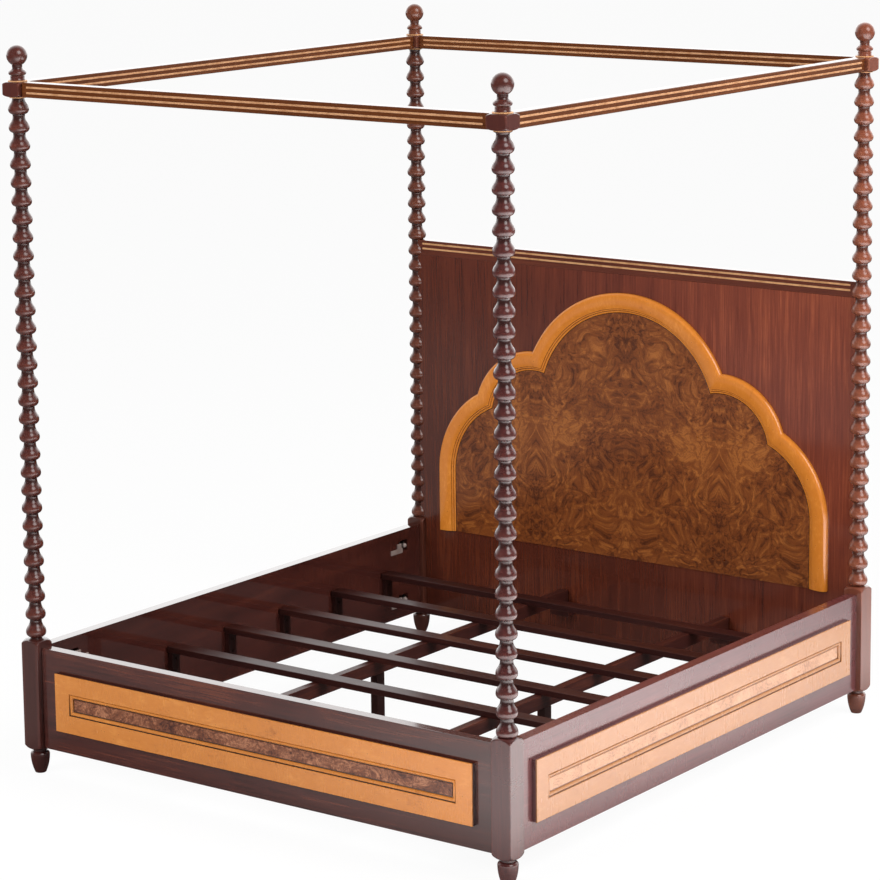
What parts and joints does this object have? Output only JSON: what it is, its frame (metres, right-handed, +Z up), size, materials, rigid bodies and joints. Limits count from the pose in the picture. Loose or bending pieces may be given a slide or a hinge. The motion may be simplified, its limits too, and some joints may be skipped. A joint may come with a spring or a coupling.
{
  "type": "canopy bed",
  "caption": "Four-poster canopy bed frame with turned bobbin posts, ball finials, inlaid tester rails, panelled rails, arched burl headboard and lift-out slats.",
  "frame": {"origin": "on the floor, midway between the four post centre lines", "axes": "+Z up, +Y towards the headboard, +X to the right-hand side rail seen from the foot"},
  "size_m": [1.942, 2.156, 2.378],
  "materials": {
    "mahogany": "French-polished dark red-brown mahogany, high gloss",
    "maple": "polished golden bird's-eye veneer, high gloss",
    "burl": "polished burr walnut veneer, high gloss",
    "brass": "polished brass",
    "steel": "zinc-plated steel",
    "beech": "plain unfinished dowel wood"
  },
  "bodies": {
    "bed": {"bearer_cleats": "mahogany", "bearer_left": "mahogany", "bearer_leg_left": "mahogany", "bearer_leg_right": "mahogany", "bearer_right": "mahogany", "block_screws": "steel", "finial_pins": "steel", "foot_panel_backing": "mahogany", "foot_panel_burl": "burl", "foot_panel_face": "maple", "foot_panel_moulding": "maple", "foot_rail": "mahogany", "headboard_arch": "maple", "headboard_burl": "burl", "headboard_dowels": "beech", "headboard_lines": "brass", "headboard_panel": "mahogany", "headboard_top_rail": "mahogany", "left_panel_backing": "mahogany", "left_panel_burl": "burl", "left_panel_face": "maple", "left_panel_moulding": "maple", "leg_dowels": "beech", "lower_collars": "brass", "post_foot_left": "mahogany", "post_foot_right": "mahogany", "post_head_left": "mahogany", "post_head_right": "mahogany", "rail_nuts": "steel", "rail_studs": "steel", "right_panel_backing": "mahogany", "right_panel_burl": "burl", "right_panel_face": "maple", "right_panel_moulding": "maple", "side_rail_left": "mahogany", "side_rail_right": "mahogany", "slat_blocks": "mahogany", "tester_block_foot_left": "mahogany", "tester_block_foot_right": "mahogany", "tester_block_head_left": "mahogany", "tester_block_head_right": "mahogany", "tester_dowels": "beech", "tester_lines": "brass", "tester_rail_foot": "mahogany", "tester_rail_head": "mahogany", "tester_rail_left": "mahogany", "tester_rail_right": "mahogany", "upper_collars": "brass"},
    "finial_foot_left": {"finial_foot_left": "mahogany"},
    "finial_foot_right": {"finial_foot_right": "mahogany"},
    "finial_head_left": {"finial_head_left": "mahogany"},
    "finial_head_right": {"finial_head_right": "mahogany"},
    "slat_1": {"slat_1": "mahogany"},
    "slat_2": {"slat_2": "mahogany"},
    "slat_3": {"slat_3": "mahogany"},
    "slat_4": {"slat_4": "mahogany"},
    "slat_5": {"slat_5": "mahogany"},
    "slat_6": {"slat_6": "mahogany"}
  },
  "joints": [
    {"name": "finial_foot_left_lift", "type": "slide", "parent": "bed", "child": "finial_foot_left", "axis": [0, 0, 1], "range_m": [0, 0.05]},
    {"name": "finial_foot_right_lift", "type": "slide", "parent": "bed", "child": "finial_foot_right", "axis": [0, 0, 1], "range_m": [0, 0.05]},
    {"name": "finial_head_left_lift", "type": "slide", "parent": "bed", "child": "finial_head_left", "axis": [0, 0, 1], "range_m": [0, 0.05]},
    {"name": "finial_head_right_lift", "type": "slide", "parent": "bed", "child": "finial_head_right", "axis": [0, 0, 1], "range_m": [0, 0.05]},
    {"name": "slat_1_lift", "type": "slide", "parent": "bed", "child": "slat_1", "axis": [0, 0, 1], "range_m": [0, 0.17]},
    {"name": "slat_2_lift", "type": "slide", "parent": "bed", "child": "slat_2", "axis": [0, 0, 1], "range_m": [0, 0.17]},
    {"name": "slat_3_lift", "type": "slide", "parent": "bed", "child": "slat_3", "axis": [0, 0, 1], "range_m": [0, 0.17]},
    {"name": "slat_4_lift", "type": "slide", "parent": "bed", "child": "slat_4", "axis": [0, 0, 1], "range_m": [0, 0.17]},
    {"name": "slat_5_lift", "type": "slide", "parent": "bed", "child": "slat_5", "axis": [0, 0, 1], "range_m": [0, 0.17]},
    {"name": "slat_6_lift", "type": "slide", "parent": "bed", "child": "slat_6", "axis": [0, 0, 1], "range_m": [0, 0.17]}
  ]
}
